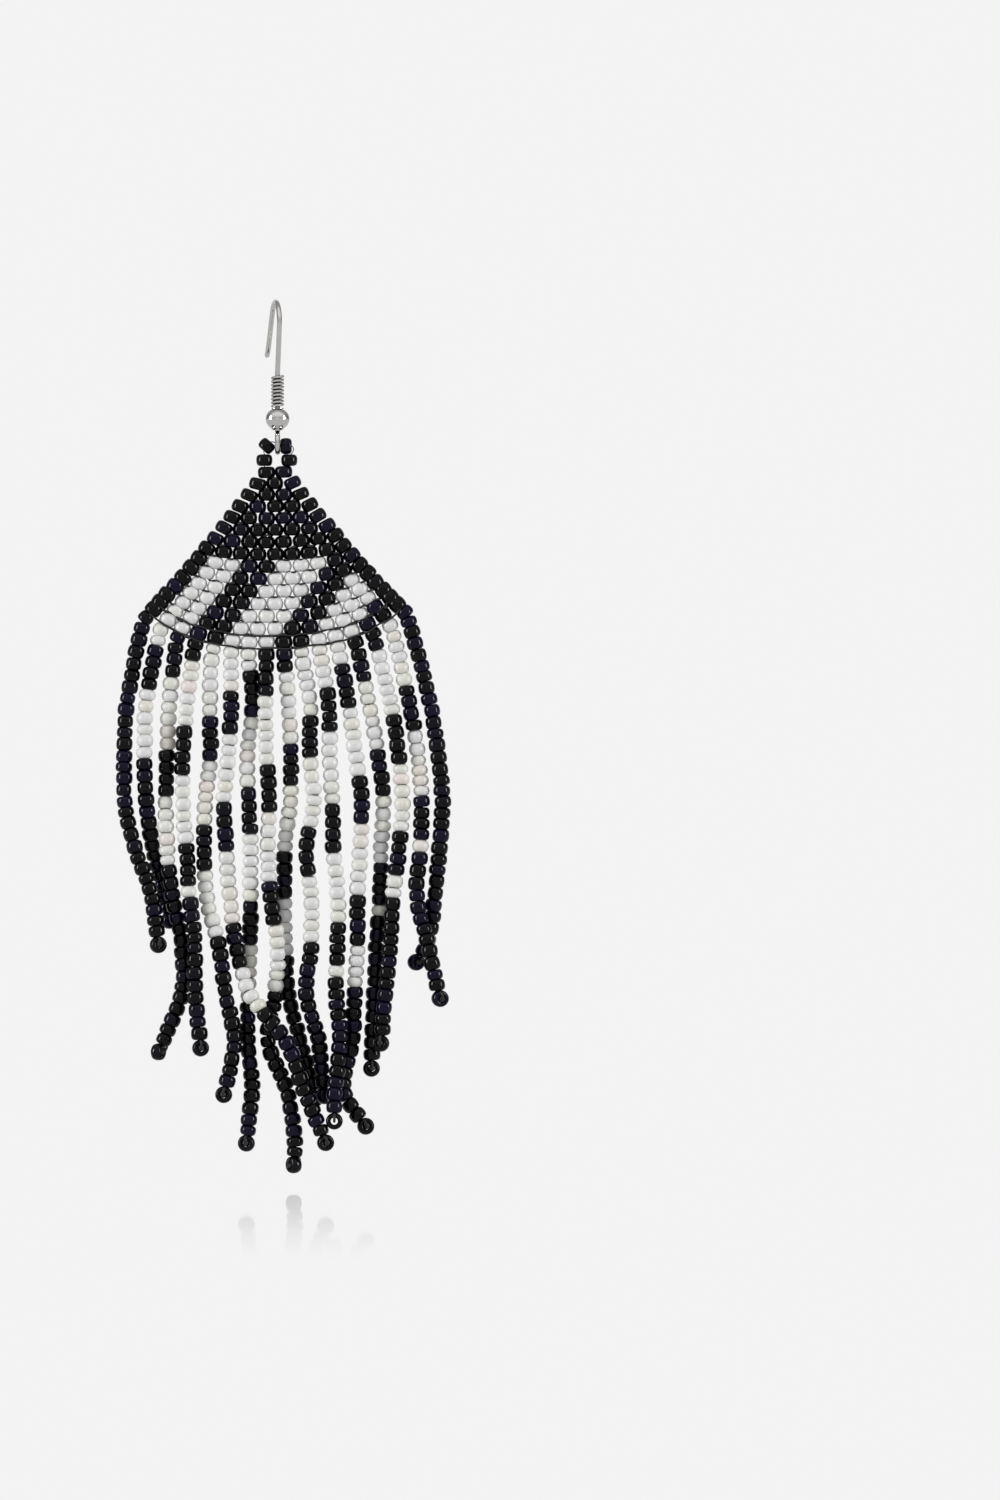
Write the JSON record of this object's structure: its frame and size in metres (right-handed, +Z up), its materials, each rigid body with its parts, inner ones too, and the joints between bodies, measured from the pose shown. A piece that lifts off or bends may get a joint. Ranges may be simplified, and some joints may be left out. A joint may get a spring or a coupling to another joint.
{
  "type": "beaded dangle earring",
  "caption": "Drop earring with a bent ear wire, a bowed triangular panel woven of seed beads, and a fringe of hanging bead strands.",
  "frame": {"origin": "the inside of the hook's top, where it rests in the ear", "axes": "+X to the right seen from the front, +Y away from the viewer, +Z up; the drop hangs down -Z"},
  "size_m": [0.0416, 0.0101, 0.1091],
  "materials": {
    "polished_steel": "polished",
    "black_glass": "glossy opaque glass",
    "white_glass": "glossy opaque glass",
    "thread": "waxed nylon beading thread"
  },
  "bodies": {
    "ear_wire": {"ear_hook": "polished_steel", "hook_coil": "polished_steel", "hook_ball": "polished_steel"},
    "drop": {"hang_thread": "thread", "loop_bead_1": "black_glass", "loop_bead_2": "black_glass", "loop_bead_3": "black_glass", "loop_bead_4": "black_glass", "bead_panel": "black_glass", "strand_01": "black_glass", "strand_02": "white_glass", "strand_03": "white_glass", "strand_04": "white_glass", "strand_05": "white_glass", "strand_06": "white_glass", "strand_07": "white_glass", "strand_08": "white_glass", "strand_09": "white_glass", "strand_10": "white_glass", "strand_11": "white_glass", "strand_12": "white_glass", "strand_13": "white_glass", "strand_14": "white_glass", "strand_15": "white_glass", "strand_16": "black_glass"}
  },
  "joints": [
    {"name": "drop_swing", "type": "hinge", "parent": "ear_wire", "child": "drop", "pos_m": [0.00026, -0.00127, -0.01806], "axis": [1, 0, 0], "range_deg": [-60, 60]}
  ]
}
